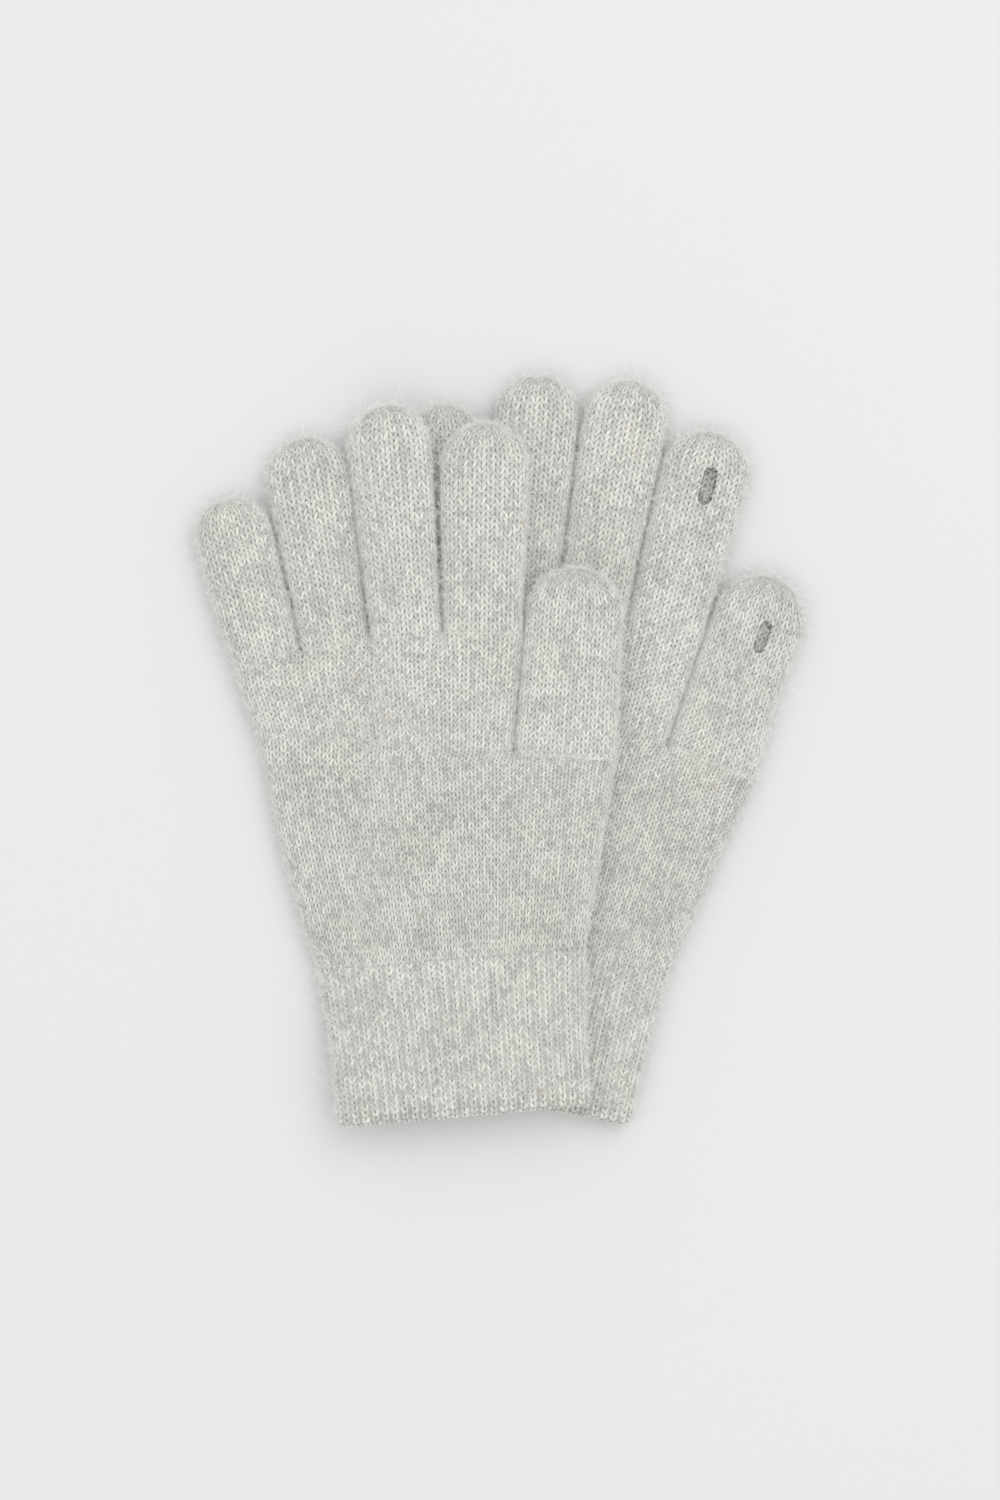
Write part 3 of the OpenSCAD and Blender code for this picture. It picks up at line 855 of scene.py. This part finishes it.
groups = {"stitch": stitchGroup(), "heather": heatherGroup()}
plainYarn = yarnMaterial("plainKnit", 1.0, leg["lean"])
ribYarn = yarnMaterial("ribbedKnit", 0.8, leg["lean"], 0.56)
edgeYarn = yarnMaterial("castOnEdge", 0.8, 0.5, 0.5)
hairFinish = hairMaterial()
elasticFinish = elasticMaterial()
print("materials made")


# Putting a glove together

def finishPiece(piece, node, material, lay, digit=None):
    piece.data.materials.append(material)
    handBody = lay["side"] + "_hand"
    own = digit is not None and (lay["side"] == "left" or digit >= 3)
    if own:
        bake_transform(piece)
    else:
        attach(piece, handBody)
    if node:
        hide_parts(node)


def addHairs(part, outer, normals, seed, lay, digit=None):
    piece = hairPiece(lay["side"] + "_" + part + "_hairs", outer, normals, seed)
    finishPiece(piece, None, hairFinish, lay, digit=digit)


def slotDistance(x, y, length, width):
    half = (length - width) / 2
    pointed = touchSlit["pointed"] * np.clip(y / (length / 2), -1, 1) ** 2
    return np.hypot(x, np.maximum(np.abs(y) - half, 0)) - width / 2 + pointed


def slitFrame(lay, i, points):
    # across and along the digit from the middle of its slit, and those two directions
    ahead = turned(lay["turn"] + lay["splay"][i], np.array([0.0, 1.0]))
    across = turned(lay["turn"] + lay["splay"][i], np.array([1.0, 0.0]))
    rootA, rootB = rootEnds(lay, i)
    away = np.array([touchSlit["side"], digitReach(lay, i) - touchSlit["fromTip"][i - 3]])
    mid = (rootA + rootB) / 2 + turned(lay["splay"][i], away)
    local = points[..., :2] - (np.asarray(lay["crotch"]) + turned(lay["turn"], mid))
    return local @ across, local @ ahead, across, ahead


def slitRim(dist, x, y, length, width):
    # the cells that the slit takes out, and how far the points round it move to lie on its line
    hole = (dist[:-1, :-1] + dist[1:, :-1] + dist[:-1, 1:] + dist[1:, 1:]) / 4 < 0
    near = np.zeros_like(dist, bool)
    for dj in (0, 1):
        for di in (0, 1):
            near[dj:dj + hole.shape[0], di:di + hole.shape[1]] |= hole
    inside = np.zeros_like(near)
    inside[1:-1, 1:-1] = hole[1:, 1:] & hole[1:, :-1] & hole[:-1, 1:] & hole[:-1, :-1]
    half = (length - width) / 2
    toX, toY = x, y - np.clip(y, -half, half)
    size = np.maximum(np.hypot(toX, toY), 1e-6)
    push = np.where(near & ~inside, -dist, 0)
    return hole, toX / size * push, toY / size * push


def elasticThreads(name, points, normals):
    # covered threads laid in on the inner face of the ribbing
    sheet = newSheet()
    for k in range(thread["count"]):
        row = thread["firstRow"] + k * thread["gapRows"]
        at, out = points[row, ::thread["every"]], normals[row, ::thread["every"]]
        path = at - out * knit["wall"]
        up = points[row + 1, ::thread["every"]] - at
        up /= np.linalg.norm(up, axis=-1, keepdims=True)
        turns = np.radians([0, 60, 120, 180, 240, 300])
        ring = [path + (out * math.cos(a) + up * math.sin(a)) * thread["thick"] for a in turns]
        ring = np.stack(ring + [path + out * thread["thick"]], 1)
        ids = addGrid(sheet, ring, np.linspace(0, 1, 7), np.arange(len(path))[:, None] * 1.0)
        sheet["quads"].append(gridQuads(ids)[:, ::-1])
    return buildMesh(name, sheet)


def makeGlove(lay):
    side, seed = lay["side"], lay["seed"]

    # cuff and lower palm
    low = lowerGrid(lay)
    points, normals = low["points"], gridNormals(low["points"])
    cuffRows = low["rowsCuff"]
    wrist = -(hand["palmLen"] + lay["pullOut"])
    into = ease((wrist + rib["fade"] - low["along"]) / rib["fade"])[:, None]
    raised, legs = ribHeight(low["ribA"][None], low["ribC"][:, None], seed)
    ribbed = -rib["groove"] * (1 - raised) + rib["relief"] * (legs - 1)
    plain = knit["relief"] * (plainHeight(low["waleA"][None], low["plainC"][:, None], seed) - 1)
    outer = points + normals * mix(plain, ribbed, into)[..., None]
    edgeRows = int(round(cuffRows * hand["edgeLen"] / hand["cuffLen"]))
    spans = ((0, edgeRows, "cuff_edge", "rib_edge", edgeYarn, low["ribA"], low["ribC"]),
             (edgeRows, cuffRows, "cuff_rib", "rib_knit", ribYarn, low["ribA"], low["ribC"]),
             (cuffRows, len(points) - 1, "lower_palm", "plain_knit", plainYarn, low["waleA"], low["plainC"]))
    for n, (a, b, part, slotName, material, wales, courses) in enumerate(spans):
        rows = slice(a, b + 1)
        piece = knitPiece(side + "_" + part + "_knit", outer[rows], points[rows], normals[rows],
                          wales, courses[rows][:, None], grid["lowerEvery"])
        finishPiece(piece, side + "_" + part, material, lay)
        if part != "cuff_edge":
            addHairs(part, outer[rows], normals[rows], seed * 10 + n, lay)

    # upper palm
    palmPitch = low["arc"][-1, -1] / knit["wales"]
    up = upperGrid(lay, palmPitch)
    points, normals = up["points"], gridNormals(up["points"])
    courses = up["along"] / knit["course"]
    relief = knit["relief"] * (plainHeight(up["waleA"][None], courses, seed) - 1)
    outer = points + normals * relief[..., None]
    piece = knitPiece(side + "_upper_palm_knit", outer, points, normals,
                      up["waleA"], courses, grid["upperEvery"])
    finishPiece(piece, side + "_upper_palm", plainYarn, lay)
    addHairs("upper_palm", outer, normals, seed * 10 + 4, lay)

    # digits: the stitches run on from the palm
    for i in range(5):
        if i == thumb:
            thumbEnd = hand["rootW"][thumb] - lay["thumbIn"]
            startA = knit["wales"] / 2 * (hand["handW"] + thumbEnd / 2) / (hand["handW"] + thumbEnd)
            startC, pitch = 0.0, palmPitch
        else:
            topHalf = len(up["waleA"]) // 2
            f = (up["shares"][i] + up["shares"][i + 1]) / 2
            startA = np.interp(f, np.linspace(0, 1, topHalf + 1), up["waleA"][:topHalf + 1])
            startC, pitch = hand["upperLen"] / knit["course"], knit["digitWale"]
        digit = digitGrid(lay, i, startA, pitch)
        points, normals = digit["points"], gridNormals(digit["points"])
        courses = startC + digit["along"][:, None] / knit["digitCourse"]
        amount = knit["relief"] * (plainHeight(digit["waleA"][None], courses, seed + i) - 1)
        hole, sink, every = None, 0, grid["digitEvery"]
        if i >= 3:
            length, width, every = touchSlit["length"][i - 3], touchSlit["width"][i - 3], 1
            x, y, across, ahead = slitFrame(lay, i, points)
            padSide = 1 if lay["palmUp"] else -1
            facing = normals[..., 2] * padSide > 0.3
            limp = np.where(facing, 0, ease((-normals[..., 2] * padSide - 0.5) * 2))
            sink = touchSlit["backRise"] * limp * np.exp(-(x / 6) ** 2 - (y / 11) ** 2)
            dist = np.where(facing, slotDistance(x, y, length, width), 99)
            lip = touchSlit["lip"] * np.exp(-((dist - 0.7) / 0.8) ** 2)
            amount = amount * ease((dist + 0.2) / 1.0) + lip - 0.25 * np.exp(-(dist / 0.5) ** 2)
        outer = points + normals * amount[..., None]
        if i >= 3:
            hole, moveX, moveY = slitRim(dist, x, y, length, width)
            shift = moveX[..., None] * np.append(across, 0) + moveY[..., None] * np.append(ahead, 0)
            outer = outer + shift
            points = points + shift
        piece = knitPiece(side + "_" + digitNames[i] + "_knit", outer, points, normals,
                          digit["waleA"], courses, every, pole=digit["pole"],
                          innerRows=digit["rowsUp"] + 12, hole=hole, sink=sink)
        finishPiece(piece, side + "_" + digitNames[i], plainYarn, lay, digit=i)
        addHairs(digitNames[i], outer, normals, seed * 10 + 5 + i, lay, digit=i)

    # elastic in the cuff
    cuff = low["points"][:cuffRows]
    piece = elasticThreads(side + "_cuff_elastic_threads", cuff, gridNormals(low["points"])[:cuffRows])
    finishPiece(piece, side + "_cuff_elastic", elasticFinish, lay)
    print(side + " glove made")


makeGlove(rightLay)
makeGlove(leftLay)


# Floor, light and camera

studio = {
    "floor": (0.76, 0.76, 0.76, 1), "floorHalf": 9, "floorHeight": -0.0002,
    "world": 0.89,
    "key": 8.3, "keyAt": (0.7, 0.8, 1.6), "keySize": 1.5, "keyTint": (0.985, 0.995, 1),
    "fill": 2.8, "fillAt": (-0.7, -0.7, 1.6), "fillSize": 1.6, "fillTint": (1, 0.97, 0.93),
    "cameraAt": (-0.00083, 0.00023, 1.18), "lens": 85,
}


def makeFloor():
    mesh = bpy.data.meshes.new("studioFloor")
    half, height = studio["floorHalf"], studio["floorHeight"]
    corners = [(-half, -half, height), (half, -half, height), (half, half, height), (-half, half, height)]
    mesh.from_pydata(corners, [], [(0, 1, 2, 3)])
    floor = bpy.data.objects.new("studioFloor", mesh)
    bpy.context.scene.collection.objects.link(floor)
    material = bpy.data.materials.new("paleFloor")
    material.use_nodes = True
    shader = material.node_tree.nodes["Principled BSDF"]
    shader.inputs["Base Color"].default_value = studio["floor"]
    shader.inputs["Roughness"].default_value = 0.9
    shader.inputs["Specular IOR Level"].default_value = 0.1
    mesh.materials.append(material)


def areaLight(name, at, size, power, colour):
    data = bpy.data.lights.new(name, "AREA")
    data.size, data.energy, data.color = size, power, colour
    light = bpy.data.objects.new(name, data)
    light.location = at
    light.rotation_euler = (Vector((0, 0, 0)) - Vector(at)).to_track_quat("-Z", "Y").to_euler()
    bpy.context.scene.collection.objects.link(light)


makeFloor()
areaLight("keyLight", studio["keyAt"], studio["keySize"], studio["key"], studio["keyTint"])
areaLight("fillLight", studio["fillAt"], studio["fillSize"], studio["fill"], studio["fillTint"])
world = bpy.data.worlds.new("softRoom")
world.use_nodes = True
world.node_tree.nodes["Background"].inputs[0].default_value = (1, 1, 1, 1)
world.node_tree.nodes["Background"].inputs[1].default_value = studio["world"]
bpy.context.scene.world = world
cameraData = bpy.data.cameras.new("topCamera")
cameraData.lens, cameraData.sensor_width = studio["lens"], 36
camera = bpy.data.objects.new("topCamera", cameraData)
camera.location = studio["cameraAt"]
bpy.context.scene.collection.objects.link(camera)
bpy.context.scene.camera = camera
bpy.context.scene.view_settings.view_transform = "Standard"
print("studio set")
